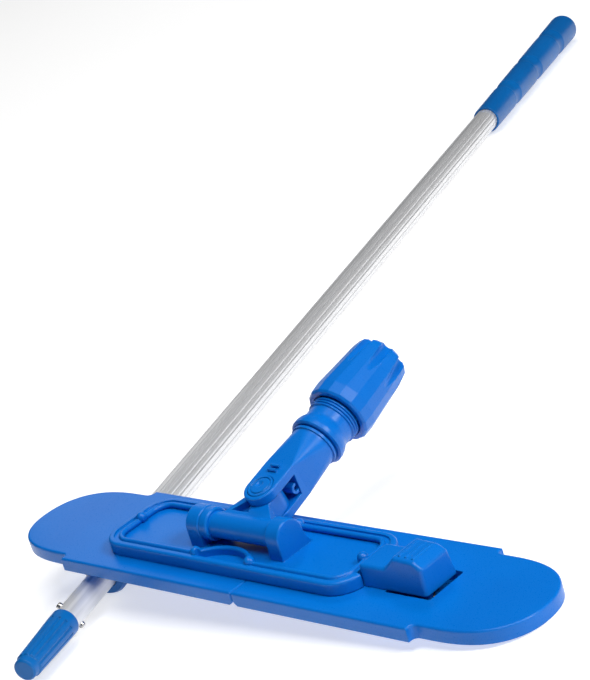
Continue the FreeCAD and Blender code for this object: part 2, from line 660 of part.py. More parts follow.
def pivot_pin():
    """The fork pivot: a shank with a wide head let into the upper ear, ringed and dimpled on top."""
    z0 = PIVOT_DISTANCE
    face = -FORK_HALF_DEPTH - 0.5
    radius = PIVOT_HEAD_RADIUS - 0.35
    shank = rod(PIVOT_RADIUS, V(ARM_X, -FORK_HALF_DEPTH + 1, z0), V(ARM_X, FORK_HALF_DEPTH - 1.5, z0))
    head = rod(radius, V(ARM_X, face, z0), V(ARM_X, -FORK_HALF_DEPTH + 1.5, z0))
    head = head.makeFillet(0.5, edges_where(head, lambda e: e.YMax < face + 0.1))
    above = V(ARM_X, face - 1, z0)
    floor = V(ARM_X, face + 0.5, z0)
    groove = rod(radius - 1.3, above, floor).cut(rod(radius - 2.3, above, floor))
    dimple = Part.makeSphere(4.2, V(ARM_X - 1.4, face - 3.4, z0 + 1.2))
    return shank.fuse(head).removeSplitter().cut([groove, dimple])


def pivot_cap():
    """The cap riveted on the pivot's far end."""
    b = FORK_HALF_DEPTH
    cap = rod(PIVOT_HEAD_RADIUS - 1.7, V(ARM_X, b - 1.5, PIVOT_DISTANCE), V(ARM_X, b + 0.2, PIVOT_DISTANCE))
    return cap.makeFillet(0.5, edges_where(cap, lambda e: e.YMin > b + 0.1))


def detent_clip():
    """The curled tongue under the slot roof that the lug clicks against when upright."""
    inner = 1.7
    outer = 3.4
    start = -200.0
    stop = 85.0
    x0 = ARM_X - 4.0
    width = FORK_HALF_WIDTH + 3.2
    cy = 1.6
    cz = PIVOT_DISTANCE + 13.4

    def at(radius, degrees):
        t = math.radians(degrees)
        return V(x0, cy + radius * math.cos(t), cz + radius * math.sin(t))

    middle = (start + stop) / 2
    outline = Part.Wire([
        Part.Arc(at(outer, start), at(outer, middle), at(outer, stop)).toShape(),
        Part.makeLine(at(outer, stop), at(inner, stop)),
        Part.Arc(at(inner, stop), at(inner, middle), at(inner, start)).toShape(),
        Part.makeLine(at(inner, start), at(outer, start))])
    curl = Part.Face(outline).extrude(V(width, 0, 0))
    stem = box(x0, x0 + width, cy + inner, cy + outer, cz, cz + 8.0)
    return fused([curl, stem])


def socket_sleeve():
    """The socket: flared skirt, ringed neck and threaded tube around the handle bore."""
    z0 = PIVOT_DISTANCE
    neck = SOCKET_NECK_RADIUS
    profile = [(SPIGOT_RADIUS, SOCKET_BASE + 1), (SOCKET_SKIRT_RADIUS - 1.2, SOCKET_BASE + 1),
               (SOCKET_SKIRT_RADIUS, SOCKET_BASE + 1.8), (SOCKET_SKIRT_RADIUS, SOCKET_BASE + 4.5),
               (SOCKET_SKIRT_RADIUS - 0.6, SOCKET_BASE + 7.0), (neck + 0.2, SOCKET_BASE + 10.5),
               (neck, SOCKET_BASE + 12)]
    for z in SOCKET_RINGS:
        profile += [(neck, z), (neck + 1.1, z + 0.35), (neck + 1.1, z + 1.15), (neck, z + 1.5)]
    profile += [(neck, 70.2), (THREAD_RADIUS, 70.8), (THREAD_RADIUS, SOCKET_TOP - 1),
                (THREAD_RADIUS - 1, SOCKET_TOP),
                (SOCKET_BORE_RADIUS + 0.5, SOCKET_TOP), (SOCKET_BORE_RADIUS, SOCKET_TOP - 0.5),
                (SOCKET_BORE_RADIUS, SOCKET_BORE_FLOOR), (0, SOCKET_BORE_FLOOR), (0, SPIGOT_TOP),
                (SPIGOT_RADIUS, SPIGOT_TOP)]
    return turned([(r, z0 + z) for r, z in profile], ARM_X)


def clamp_collet():
    """The split cone that the nut squeezes on the handle."""
    z0 = PIVOT_DISTANCE
    inner = SOCKET_BORE_RADIUS
    ring = turned([(inner, z0 + COLLET_BASE), (THREAD_RADIUS, z0 + COLLET_BASE),
                   (THREAD_RADIUS, z0 + COLLET_BASE + 4), (inner + 1.2, z0 + COLLET_TOP),
                   (inner, z0 + COLLET_TOP)], ARM_X)
    slits = []
    for k in range(6):
        slit = box(0, 30, -0.6, 0.6, z0 + COLLET_BASE + 3, z0 + COLLET_TOP + 1)
        slit.rotate(V(0, 0, 0), Z_AXIS, 60 * k)
        slits.append(slit.translated(V(ARM_X, 0, 0)))
    return cut_all(ring, slits)


def nut_body():
    """The nut's faceted cone, lofted through regular polygons."""
    levels = [(0, NUT_BASE_RADIUS - 1.2), (1.4, NUT_BASE_RADIUS), (9.0, NUT_BASE_RADIUS + 0.3),
              (NUT_TOP - NUT_BASE - 7.0, NUT_TOP_RADIUS + 0.9), (NUT_TOP - NUT_BASE - 2.2, NUT_TOP_RADIUS),
              (NUT_TOP - NUT_BASE, NUT_TOP_RADIUS - 2.4)]
    wires = []
    for height, radius in levels:
        z = PIVOT_DISTANCE + NUT_BASE + height
        turns = [180.0 * (k + 0.5) / NUT_LOBES for k in range(2 * NUT_LOBES)]
        points = [polar(radius, turn, z).add(V(ARM_X, 0, 0)) for turn in turns]
        wires.append(Part.makePolygon(points + [points[0]]))
    return Part.makeLoft(wires, True, True)


def clamp_nut():
    """The hand nut: the faceted cone with teardrop flutes that widen towards its lobed top."""
    z0 = PIVOT_DISTANCE
    bore = THREAD_RADIUS + RUNNING_CLEARANCE
    mouth = SOCKET_BORE_RADIUS + 0.3
    relief = SOCKET_NECK_RADIUS + 1.6
    hollow = turned([(0, z0 + NUT_BASE - 1), (relief, z0 + NUT_BASE - 1), (relief, z0 + NUT_BASE + 3),
                     (bore, z0 + NUT_BASE + 5.5), (bore, z0 + COLLET_BASE + 4.0),
                     (mouth + 1.6, z0 + COLLET_TOP + 0.8),
                     (mouth, z0 + COLLET_TOP + 0.8), (mouth, z0 + NUT_TOP + 1), (0, z0 + NUT_TOP + 1)], ARM_X)
    flutes = []
    radius = 3.6
    entry = V(NUT_BASE_RADIUS + radius + 0.4, 0, z0 + NUT_BASE + 20)
    exit_point = V(NUT_TOP_RADIUS + radius - 4.6, 0, z0 + NUT_TOP + 1)
    for k in range(NUT_LOBES):
        tool = rod(radius, entry, exit_point)
        tool.rotate(V(0, 0, 0), Z_AXIS, 360.0 * k / NUT_LOBES)
        flutes.append(tool.translated(V(ARM_X, 0, 0)))
    return cut_all(nut_body(), [hollow] + flutes)


# ---------------------------------------------------------------- pedal

def pedal_block():
    """The pedal's outside: a low tail, a ramp and a pad, with drafted sides and rounded edges."""
    deck = PLATE_THICKNESS
    h = PEDAL_HALF_WIDTH
    base = deck + 0.3
    right = PEDAL_RIGHT_X
    side = [V(PEDAL_LEFT_X + 1.5, 0, base), V(right, 0, base), V(right - 0.8, 0, deck + PEDAL_END_TOP),
            V(right - 6.5, 0, deck + PEDAL_SHOULDER), V(right - PEDAL_PAD_LENGTH, 0, deck + PEDAL_PAD_TOP),
            V(right - PEDAL_RAMP_START, 0, deck + PEDAL_LOW_TOP), V(PEDAL_LEFT_X, 0, deck + PEDAL_LOW_TOP)]
    block = extruded([p.add(V(0, PEDAL_Y - h, 0)) for p in side], V(0, 2 * h, 0))
    drafts = []
    draft = 2.4
    height = 22.0
    for s in (-1, 1):
        y = PEDAL_Y + s * h
        corner = [V(0, y, base), V(0, y + s * 5, base), V(0, y + s * 5, base + height),
                  V(0, y - s * draft, base + height)]
        drafts.append(extruded(corner, V(200, 0, 0)))
    block = cut_all(block, drafts)
    top = base + 2.0
    upper = edges_where(block, lambda b: b.ZMax > top)
    return block.makeFillet(PEDAL_ROUNDING, upper)


def foot_pedal():
    """The rocker: a hollow cap on a boss that turns on the pedal pin."""
    deck = PLATE_THICKNESS
    h = PEDAL_HALF_WIDTH
    wall = PEDAL_WALL
    skin = 3.4
    cavity = [V(PEDAL_LEFT_X + 4.6, 0, deck - 1), V(PEDAL_RIGHT_X - wall, 0, deck - 1),
              V(PEDAL_RIGHT_X - 0.8 - wall, 0, deck + PEDAL_END_TOP - wall),
              V(PEDAL_RIGHT_X - 6.5, 0, deck + PEDAL_SHOULDER - wall - 1.0),
              V(PEDAL_RIGHT_X - PEDAL_PAD_LENGTH + 1.5, 0, deck + PEDAL_PAD_TOP - wall - 0.8),
              V(PEDAL_RIGHT_X - PEDAL_RAMP_START + 1.5, 0, deck + PEDAL_LOW_TOP - wall),
              V(PEDAL_LEFT_X + 4.6, 0, deck + PEDAL_LOW_TOP - wall)]
    inner = extruded([p.add(V(0, PEDAL_Y - h + skin, 0)) for p in cavity], V(0, 2 * (h - skin), 0))
    pivot = V(PEDAL_PIVOT_X, PEDAL_Y, deck + PEDAL_PIVOT_HEIGHT)
    half = PEDAL_BOSS_HALF
    boss = rod(3.0, pivot.add(V(0, -half, 0)), pivot.add(V(0, half, 0)))
    web = box(PEDAL_PIVOT_X - 1.2, PEDAL_PIVOT_X + 1.2, PEDAL_Y - half, PEDAL_Y + half, pivot.z,
              deck + PEDAL_LOW_TOP - 1)
    room = 9.6
    pin_hole = rod(PEDAL_PIN_RADIUS + RUNNING_CLEARANCE, pivot.add(V(0, -room, 0)), pivot.add(V(0, room, 0)))
    whole = fused([pedal_block().cut(inner), boss, web, pad_ribs()])
    side_room = box(PEDAL_PIVOT_X - 3.8, PEDAL_PIVOT_X + 3.8, PEDAL_Y - room, PEDAL_Y + room, deck - 1,
                    pivot.z + 3.8)
    core = box(PEDAL_PIVOT_X - 5, PEDAL_PIVOT_X + 5, PEDAL_Y - 6.5, PEDAL_Y + 6.5, deck - 2, deck + 12)
    return cut_all(whole, [side_room.cut(core), pin_hole])


def pad_ribs():
    """Three slanted grip ribs across the pedal pad."""
    deck = PLATE_THICKNESS
    first = PEDAL_RIGHT_X - PEDAL_PAD_LENGTH + 3.0
    slope = (PEDAL_PAD_TOP - PEDAL_SHOULDER) / (PEDAL_PAD_LENGTH - 6.5)
    ribs = []
    for k in range(3):
        x = first + 4.6 * k
        z = deck + PEDAL_PAD_TOP - slope * (x - PEDAL_RIGHT_X + PEDAL_PAD_LENGTH)
        ribs.append(rod(0.9, V(x, PEDAL_Y - 8.2, z - 0.3), V(x, PEDAL_Y + 8.2, z - 0.3)))
    return Part.makeCompound(ribs)


def pedal_pin():
    """The steel pin of the pedal rocker."""
    pivot = V(PEDAL_PIVOT_X, PEDAL_Y, PLATE_THICKNESS + PEDAL_PIVOT_HEIGHT)
    return rod(PEDAL_PIN_RADIUS, pivot.add(V(0, -9.4, 0)), pivot.add(V(0, 9.4, 0)))


def pedal_spring():
    """The compression spring between the pocket floor and the pedal."""
    base = POCKET_FLOOR + SPRING_WIRE + 0.1
    rise = SPRING_HEIGHT - 2 * SPRING_WIRE
    helix = Part.makeHelix(rise / SPRING_TURNS, rise, SPRING_RADIUS)
    start = V(SPRING_RADIUS, 0, 0)
    circle = Part.Wire(Part.makeCircle(SPRING_WIRE, start, Y_AXIS))
    coil = Part.Wire(helix.Edges).makePipeShell([circle], True, True)
    return coil.translated(V(SPRING_X, SPRING_Y, base))


# ---------------------------------------------------------------- handle

def outer_tube():
    """The fluted aluminium outer tube."""
    start = COLLAR_START + 20
    length = HANDLE_LENGTH - 8 - start
    section = Part.Face(Part.Wire(Part.makeCircle(TUBE_RADIUS, V(0, 0, start))))
    notches = []
    for k in range(FLUTES):
        t = 2 * math.pi * k / FLUTES
        centre = V((TUBE_RADIUS + 0.85) * math.cos(t), (TUBE_RADIUS + 0.85) * math.sin(t), start)
        notches.append(Part.Face(Part.Wire(Part.makeCircle(FLUTE_RADIUS, centre))))
    bore = Part.Face(Part.Wire(Part.makeCircle(TUBE_RADIUS - TUBE_WALL, V(0, 0, start))))
    section = section.cut(notches + [bore])
    return section.extrude(V(0, 0, length)).Solids[0]


def grip_radius(z):
    """The grip's outer radius, which widens evenly towards its closed end."""
    share = (z - HANDLE_LENGTH + GRIP_LENGTH) / GRIP_LENGTH
    return GRIP_START_RADIUS + share * (GRIP_RADIUS - GRIP_START_RADIUS)


def hand_grip():
    """The grip sleeve: a cone with three scalloped waists, a flared mouth and a domed closed end."""
    start = HANDLE_LENGTH - GRIP_LENGTH
    dome = 8.0
    half = GRIP_WAIST_LENGTH / 2
    edges = []
    point = V(grip_radius(start), 0, start)
    mouth = point
    for share in GRIP_WAISTS:
        z = start + share * GRIP_LENGTH
        low = V(grip_radius(z - half), 0, z - half)
        high = V(grip_radius(z + half), 0, z + half)
        edges.append(Part.makeLine(point, low))
        edges.append(Part.Arc(low, V(grip_radius(z) - GRIP_WAIST_DEPTH, 0, z), high).toShape())
        point = high
    shoulder = V(grip_radius(HANDLE_LENGTH), 0, HANDLE_LENGTH - dome)
    edges.append(Part.makeLine(point, shoulder))
    top = V(GRIP_RADIUS - dome + 1.0, 0, HANDLE_LENGTH)
    edges.append(Part.Arc(shoulder, V(GRIP_RADIUS - 1.9, 0, HANDLE_LENGTH - 2.4), top).toShape())
    floor = HANDLE_LENGTH - 8
    rest = [top, V(0, 0, HANDLE_LENGTH), V(0, 0, floor), V(TUBE_RADIUS, 0, floor),
            V(TUBE_RADIUS, 0, start + 0.5), V(TUBE_RADIUS + 0.4, 0, start), mouth]
    for a, b in zip(rest, rest[1:]):
        edges.append(Part.makeLine(a, b))
    return Part.Face(Part.Wire(edges)).revolve(V(0, 0, 0), Z_AXIS, 360)


def lock_bush():
    """The split bush fixed in the outer tube's mouth, which the collar squeezes."""
    z0 = COLLAR_START
    bore = INNER_RADIUS + RUNNING_CLEARANCE
    tube_bore = TUBE_RADIUS - TUBE_WALL
    cone = TUBE_RADIUS - 0.4
    bush = turned([(bore, z0 + 3), (bore + 0.7, z0 + 3), (cone, z0 + 10), (cone, z0 + 20),
                   (tube_bore, z0 + 20), (tube_bore, z0 + 46), (bore, z0 + 46)])
    slits = []
    for k in range(2):
        slit = box(-30, 30, -0.7, 0.7, z0, z0 + 16)
        slit.rotate(V(0, 0, 0), Z_AXIS, 90 * k)
        slits.append(slit)
    return cut_all(bush, slits)


def lock_collar():
    """The ribbed twist collar."""
    z0 = COLLAR_START
    z1 = z0 + COLLAR_LENGTH
    r = COLLAR_RADIUS
    outer = turned([(0, z0), (r - 1.6, z0), (r, z0 + 3), (r, z1 - 4), (r - 2.0, z1), (0, z1)])
    mouth = INNER_RADIUS + 0.4
    wide = TUBE_RADIUS + RUNNING_CLEARANCE
    bore = turned([(0, z0 - 1), (mouth, z0 - 1), (mouth, z0 + 1.5), (wide, z0 + 8.5), (wide, z1 + 1),
                   (0, z1 + 1)])
    grooves = []
    for k in range(COLLAR_RIBS):
        t = 2 * math.pi * k / COLLAR_RIBS
        centre = V((r + 0.4) * math.cos(t), (r + 0.4) * math.sin(t), z0 - 1)
        grooves.append(rod(0.95, centre, centre.add(V(0, 0, COLLAR_LENGTH - 5))))
    return cut_all(outer, [bore] + grooves)


def inner_tube():
    """The smooth inner tube, drilled for the two snap buttons."""
    z0 = PLUG_LENGTH - 16
    tube = turned([(INNER_RADIUS - INNER_WALL, z0), (INNER_RADIUS, z0), (INNER_RADIUS, INNER_TOP),
                   (INNER_RADIUS - INNER_WALL, INNER_TOP)])
    hole = rod(BUTTON_RADIUS + RUNNING_CLEARANCE, V(-20, 0, BUTTON_DISTANCE), V(20, 0, BUTTON_DISTANCE))
    return tube.cut(hole)


def guide_bush():
    """The plastic guide on the inner tube's upper end."""
    tube_bore = TUBE_RADIUS - TUBE_WALL - RUNNING_CLEARANCE
    inner = INNER_RADIUS - INNER_WALL
    z0 = INNER_TOP
    return turned([(0, z0 - 14), (inner, z0 - 14), (inner, z0), (tube_bore, z0), (tube_bore, z0 + 18),
                   (tube_bore - 2, z0 + 20), (0, z0 + 20)])


def tip_plug():
    """The tapered plug on the inner tube's lower end: smooth band, long flutes and a stepped tip."""
    step = 6.0
    tip = PLUG_TIP_RADIUS
    shoulder = PLUG_LENGTH - PLUG_BAND
    outer = turned([(0, 0), (tip - 2.0, 0), (tip - 1.0, 1.0), (tip - 0.8, step - 0.6), (tip, step),
                    (PLUG_RADIUS, shoulder), (PLUG_RADIUS, PLUG_LENGTH - 0.6), (PLUG_RADIUS - 0.6, PLUG_LENGTH),
                    (0, PLUG_LENGTH)])
    grooves = []
    for k in range(12):
        tool = rod(1.1, V(tip + 0.5, 0, step - 1), V(PLUG_RADIUS + 0.5, 0, shoulder))
        tool.rotate(V(0, 0, 0), Z_AXIS, 30 * k)
        grooves.append(tool)
    socket = rod(INNER_RADIUS, V(0, 0, PLUG_LENGTH - 16), V(0, 0, PLUG_LENGTH + 1))
    core = rod(INNER_RADIUS - INNER_WALL - 0.1, V(0, 0, 28), V(0, 0, PLUG_LENGTH + 1))
    return cut_all(outer, [socket, core] + grooves)


def snap_button(side):
    """One round snap button, its head proud of the inner tube and its foot inside."""
    shank = rod(BUTTON_RADIUS, V(side * (INNER_RADIUS - INNER_WALL - 1.2), 0, BUTTON_DISTANCE),
                V(side * (INNER_RADIUS + BUTTON_STAND), 0, BUTTON_DISTANCE))
    tip = edges_where(shank, lambda b: min(abs(b.XMin), abs(b.XMax)) > INNER_RADIUS + BUTTON_STAND - 0.1)
    return shank.makeFillet(1.1, tip)


def button_spring():
    """The bent leaf that pushes both buttons outwards."""
    z = BUTTON_DISTANCE
    reach = INNER_RADIUS - INNER_WALL - 1.2
    half = 2.2
    leaf = 0.5
    arm = [V(reach, -half, z - 4), V(reach - leaf, -half, z - 4), V(reach - leaf, -half, z + 5),
           V(1.6 - leaf, -half, z + 26), V(1.6, -half, z + 26.4), V(reach, -half, z + 5.4)]
    first = extruded(arm, V(0, 2 * half, 0))
    second = first.mirror(V(0, 0, 0), X_AXIS)
    low = V(0, -half, z + 26.2)
    high = V(0, half, z + 26.2)
    bend = rod(1.6, low, high).cut(rod(1.1, low, high))
    bend = bend.cut(box(-5, 5, -5, 5, z + 20, z + 26.2))
    return fused([first, second, bend])


# ---------------------------------------------------------------- placing

def handle_directions():
    """The handle's direction on the floor and the floor direction square to it."""
    a = math.radians(HANDLE_AZIMUTH)
    return V(-math.sin(a), math.cos(a), 0), V(math.cos(a), math.sin(a), 0)


def handle_placement():
    """Lays the handle level, its tip at the front left, with the snap buttons turned part way up."""
    along, across = handle_directions()
    tip = along * HANDLE_TIP_Y + across * HANDLE_OFFSET + V(0, 0, AXIS_HEIGHT)
    lift = math.radians(BUTTON_ELEVATION)
    button = across * -math.cos(lift) + V(0, 0, math.sin(lift))
    return FreeCAD.Placement(tip, FreeCAD.Rotation(button, along.cross(button), along, "ZXY"))


def head_placement(sole):
    """Leans the head on the collar: left side up, right end on the floor."""
    along, across = handle_directions()
    to_right = sole.copy()
    to_right.rotate(V(0, 0, 0), Z_AXIS, -HANDLE_AZIMUTH)
    reach = to_right.BoundBox.XMax
    distance = reach - HANDLE_OFFSET
    top = COLLAR_RADIUS + CONTACT_GAP
    tilt = math.asin(top / math.hypot(distance, AXIS_HEIGHT)) + math.atan2(AXIS_HEIGHT, distance)
    turn = FreeCAD.Rotation(along, math.degrees(tilt))
    return FreeCAD.Placement(V(0, 0, math.sin(tilt) * reach), turn)


def arm_placement():
    """Lays the upright arm back about the barrel axis."""
    centre = V(0, BARREL_Y, PLATE_THICKNESS + BARREL_HEIGHT)
    return FreeCAD.Placement(centre, FreeCAD.Rotation(X_AXIS, ARM_ELEVATION - 90))


def footprint_shift(shapes):
    """The move that brings the bottom centre of the kit's box to the origin."""
    limits = Part.makeCompound(list(shapes)).optimalBoundingBox(False)
    return V(-limits.Center.x, -limits.Center.y, -limits.ZMin)


def main():
    os.makedirs("parts", exist_ok=True)
    base_parts = {
        "left_wing": left_wing(),
        "right_wing": right_wing(),
        "hinge_pin": hinge_pin(),
        "centre_tray": centre_tray(),
        "tray_screws": tray_screws(),
        "trunnion_axle": trunnion_axle(),
        "foot_pedal": foot_pedal(),
        "pedal_pin": pedal_pin(),
        "pedal_spring": pedal_spring(),
    }
    arm_parts = {
        "trunnion_cross": trunnion_cross(),
        "flanged_bush": flanged_bush(),
        "swivel_fork": swivel_fork(),
        "pivot_pin": pivot_pin(),
        "pivot_cap": pivot_cap(),
        "detent_clip": detent_clip(),
        "socket_sleeve": socket_sleeve(),
        "clamp_collet": clamp_collet(),
        "clamp_nut": clamp_nut(),
    }
    handle_parts = {
        "outer_tube": outer_tube(),
        "hand_grip": hand_grip(),
        "lock_bush": lock_bush(),
        "lock_collar": lock_collar(),
        "inner_tube": inner_tube(),
        "guide_bush": guide_bush(),
        "tip_plug": tip_plug(),
        "snap_button_upper": snap_button(1),
        "snap_button_lower": snap_button(-1),
        "button_spring": button_spring(),
    }
    sole = Part.makeCompound([base_parts["left_wing"], base_parts["right_wing"]])
    head = head_placement(sole)
    arm = head.multiply(arm_placement())
    placements = ((base_parts, head), (arm_parts, arm), (handle_parts, handle_placement()))
    kit = {}
    for group, placement in placements:
        for name, shape in group.items():
            shape.Placement = placement.multiply(shape.Placement)
            kit[name] = shape
    shift = footprint_shift(kit.values())
    for name, shape in kit.items():
        shape.translate(shift)
        shape.exportStep(os.path.join("parts", name + ".step"))


main()
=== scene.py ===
import json

import bpy
from mathutils import Matrix, Vector


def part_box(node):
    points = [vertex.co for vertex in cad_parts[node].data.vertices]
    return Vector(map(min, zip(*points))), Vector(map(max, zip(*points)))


# A flat mop kit in blue plastic: the folding head leans on its loose telescopic handle.
# Metres, in the CAD frame: X along the plate, Y to the rear, Z up from the floor.

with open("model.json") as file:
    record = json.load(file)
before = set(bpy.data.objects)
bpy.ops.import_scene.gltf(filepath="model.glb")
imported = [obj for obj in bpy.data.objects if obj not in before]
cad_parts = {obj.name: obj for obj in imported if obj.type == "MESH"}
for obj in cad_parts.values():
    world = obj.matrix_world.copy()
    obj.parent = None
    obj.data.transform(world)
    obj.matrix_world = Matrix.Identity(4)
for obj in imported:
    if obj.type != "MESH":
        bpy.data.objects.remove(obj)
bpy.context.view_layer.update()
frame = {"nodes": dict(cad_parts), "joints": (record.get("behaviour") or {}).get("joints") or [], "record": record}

# ---- camera, placed from the plate's centre ----
CAMERA_OFFSET = Vector((0.9224, -0.6861, 0.5106))
CAMERA_FORWARD = Vector((-0.73281, 0.60581, -0.30981))
CAMERA_UP = Vector((0.01416, 0.46879, 0.88319))
LENS_MM = 134.24
SENSOR_MM = 36.0

# ---- stage: a pale floor that glows a little, in a room that matches it behind the horizon ----
WHITE = (1.0, 1.0, 1.0, 1.0)
FLOOR_HALF = 9.0
FLOOR_PAINT = (0.62, 0.62, 0.62, 1.0)
FLOOR_GLOW = 0.60
FLOOR_GRAIN = 60.0
ROOM_LIGHT = 0.045
ROOM_SEEN = 0.63

# ---- lights: name, offset from the plate's centre, size, watts, shows in reflections ----
LIGHTS = (
    ("top", (0.7, -0.2, 2.4), (1.4, 1.4), 40.0, True),
    ("key", (1.9, 0.5, 1.5), (0.8, 0.7), 32.0, True),
    ("far_floor", (-1.6, 2.4, 3.0), (1.0, 1.0), 46.0, False),
    ("lobe_sheen", (-0.44, 0.26, 0.20), (0.20, 0.20), 0.09, True),
)

# ---- finishes ----
BLUE = (0.0, 0.165, 0.62, 1.0)
BLUE_DEEP = (0.0, 0.145, 0.57, 1.0)
# the worn colours paint the scuffs, and paler edges that are partly wear and partly a painted highlight
BLUE_WORN_AND_SHEEN = (0.0, 0.27, 0.78, 1.0)
GRIP_BLUE = (0.0, 0.125, 0.42, 1.0)
GRIP_DEEP = (0.0, 0.105, 0.36, 1.0)
# painted scuffs, and paler edges that are partly wear and partly a painted highlight
GRIP_WORN_AND_SHEEN = (0.02, 0.19, 0.48, 1.0)
TUBE_LIGHT = (0.86, 0.86, 0.87, 1.0)
TUBE_DARK = (0.66, 0.67, 0.69, 1.0)
STEEL_LIGHT = (0.62, 0.61, 0.59, 1.0)
STEEL_DARK = (0.38, 0.37, 0.35, 1.0)
SPRING_LIGHT = (0.70, 0.62, 0.48, 1.0)
SPRING_DARK = (0.42, 0.35, 0.25, 1.0)
NATURAL = (0.74, 0.74, 0.70, 1.0)
NATURAL_DEEP = (0.64, 0.64, 0.60, 1.0)

# ---- surface detail: depths and radii in metres, grains in cells per metre ----
PLASTIC_IOR = 1.49
PLASTIC_SHINE = 0.32
PLASTIC_EDGE = 0.0009
PLASTIC_GRAIN_DEPTH = 0.00005
CLOUD_GRAIN = 14.0
SCUFF_STRETCH = (40.0, 400.0, 400.0)
WAVE_GRAIN = 45.0
WAVE_DEPTH = 0.0006
METAL_EDGE = 0.0004
STREAK_DEPTH = 0.00003
STREAK_ALONG = 1.5
STAIN_GRAIN = 30.0
PIT_DEPTH = 0.00006


class Nodes:
    """A short way to build a material's node tree."""

    def __init__(self, name):
        self.material = bpy.data.materials.new(name)
        self.material.use_nodes = True
        self.tree = self.material.node_tree
        self.tree.nodes.clear()
        self.output = self.tree.nodes.new("ShaderNodeOutputMaterial")

    def add(self, kind, inputs=None, **settings):
        """A node with its settings and its inputs; an input is a value or another node's socket."""
        node = self.tree.nodes.new(kind)
        for key, value in settings.items():
            setattr(node, key, value)
        for key, value in (inputs or {}).items():
            if isinstance(value, bpy.types.NodeSocket):
                self.tree.links.new(value, node.inputs[key])
            else:
                node.inputs[key].default_value = value
        return node

    def noise(self, vector, scale, detail=3.0, roughness=0.5):
        """A noise value at a number of grains per metre."""
        node = self.add("ShaderNodeTexNoise", {"Vector": vector, "Scale": scale, "Detail": detail,
                                               "Roughness": roughness})
        return node.outputs["Fac"]

    def ramp(self, value, low, high, low_to=0.0, high_to=1.0):
        """A value stretched from one range to another."""
        node = self.add("ShaderNodeMapRange", {"Value": value, "From Min": low, "From Max": high,
                                               "To Min": low_to, "To Max": high_to})
        return node.outputs["Result"]

    def mix(self, share, first, second):
        """Two colours mixed."""
        node = self.add("ShaderNodeMix", data_type="RGBA")
        for index, value in ((0, share), (6, first), (7, second)):
            if isinstance(value, bpy.types.NodeSocket):
                self.tree.links.new(value, node.inputs[index])
            else:
                node.inputs[index].default_value = value
        return node.outputs[2]

    def maths(self, operation, first, second):
        """One arithmetic step."""
        return self.add("ShaderNodeMath", {0: first, 1: second}, operation=operation).outputs[0]

    def bump(self, height, distance, strength, normal):
        """A bump in metres on top of another normal."""
        inputs = {"Height": height, "Distance": distance, "Strength": strength, "Normal": normal}
        return self.add("ShaderNodeBump", inputs).outputs["Normal"]

    def edges(self, radius):
        """The rounded normal, and a value near 1 where it leaves the true one: on the edges."""
        rounded = self.add("ShaderNodeBevel", {"Radius": radius}, samples=4).outputs["Normal"]
        true = self.add("ShaderNodeNewGeometry").outputs["Normal"]
        dot = self.add("ShaderNodeVectorMath", {0: rounded, 1: true}, operation="DOT_PRODUCT")
        return rounded, self.ramp(dot.outputs["Value"], 0.99, 0.78)

    def finish(self, **inputs):
        """The surface shader, linked to the output."""
        names = {key.replace("_", " "): value for key, value in inputs.items()}
        shader = self.add("ShaderNodeBsdfPrincipled", names)
        self.tree.links.new(shader.outputs["BSDF"], self.output.inputs["Surface"])
        return self.material


def moulded_plastic(name, colour, deep, worn_and_sheen, rough, grain):
    """Injection-moulded plastic: faint flow clouds, a fine spark-eroded grain, scuffs, and edges painted paler,
    partly as wear and partly as a painted highlight.
    """
    n = Nodes(name)
    place = n.add("ShaderNodeTexCoord").outputs["Object"]
    clouds = n.ramp(n.noise(place, CLOUD_GRAIN, 4.0), 0.35, 0.70)
    fine = n.noise(place, grain, 2.0, 0.6)
    stretched = n.add("ShaderNodeMapping", {"Vector": place, "Scale": SCUFF_STRETCH}).outputs["Vector"]
    scuffs = n.ramp(n.noise(stretched, 1.0, 5.0, 0.7), 0.62, 0.80)
    rounded, edge_wear_and_sheen = n.edges(PLASTIC_EDGE)
    base = n.mix(clouds, deep, colour)
    base = n.mix(n.maths("MULTIPLY", scuffs, 0.10), base, worn_and_sheen)
    # edges painted paler: partly rubbed wear, partly a painted highlight
    base = n.mix(n.maths("MULTIPLY", edge_wear_and_sheen, 0.45), base, worn_and_sheen)
    grain_rough = n.ramp(fine, 0.3, 0.7, rough - 0.04, rough + 0.05)
    roughness = n.maths("ADD", grain_rough, n.maths("MULTIPLY", scuffs, 0.10))
    normal = n.bump(fine, PLASTIC_GRAIN_DEPTH, 0.5, rounded)
    normal = n.bump(n.noise(place, WAVE_GRAIN, 2.0), WAVE_DEPTH, 0.10, normal)
    return n.finish(Base_Color=base, Roughness=roughness, Normal=normal, IOR=PLASTIC_IOR,
                    Specular_IOR_Level=PLASTIC_SHINE)


